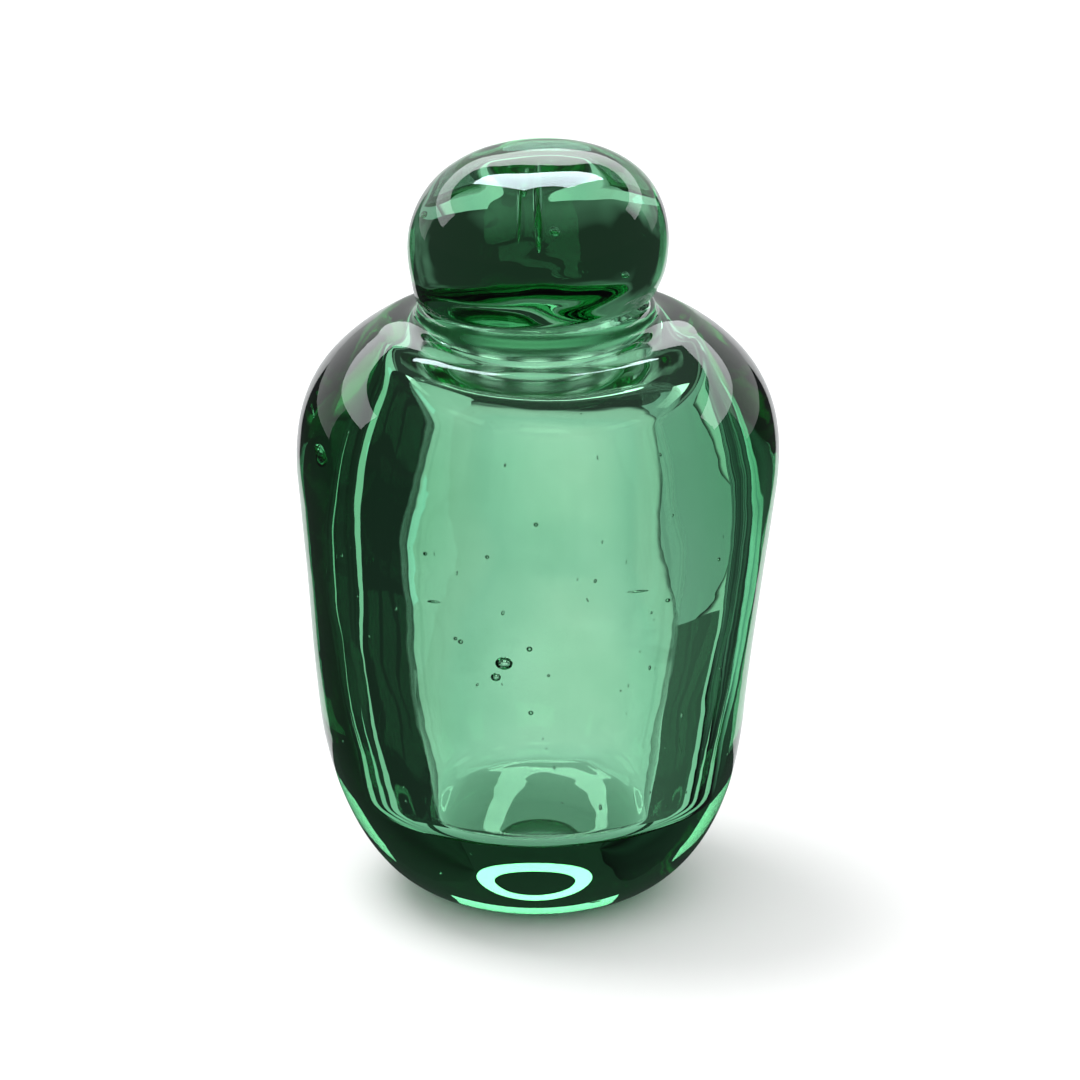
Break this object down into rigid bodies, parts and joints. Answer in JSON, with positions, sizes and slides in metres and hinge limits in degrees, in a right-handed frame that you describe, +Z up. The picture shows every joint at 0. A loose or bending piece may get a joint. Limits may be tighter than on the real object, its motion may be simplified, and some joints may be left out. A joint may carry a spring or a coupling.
{
  "type": "stoppered glass vial",
  "caption": "Thick-walled green glass apothecary vial with a rounded shoulder and a solid domed glass stopper that lifts out of a ground tapered neck.",
  "frame": {"origin": "centre of the foot, on the surface that the vial stands on", "axes": "+Z up along the vial's axis; X and Y are level and alike, because the vial is round"},
  "size_m": [0.0498, 0.0498, 0.0796],
  "materials": {
    "bottle_glass": "clear bottle-green glass, fire-polished outside, ground inside the neck",
    "stopper_glass": "clear bottle-green glass, fire-polished knob, ground plug"
  },
  "bodies": {
    "bottle": {"bottle": "bottle_glass"},
    "stopper": {"stopper": "stopper_glass"}
  },
  "joints": [
    {"name": "stopper_lift", "type": "slide", "parent": "bottle", "child": "stopper", "axis": [0, 0, 1], "range_m": [0, 0.04]}
  ]
}
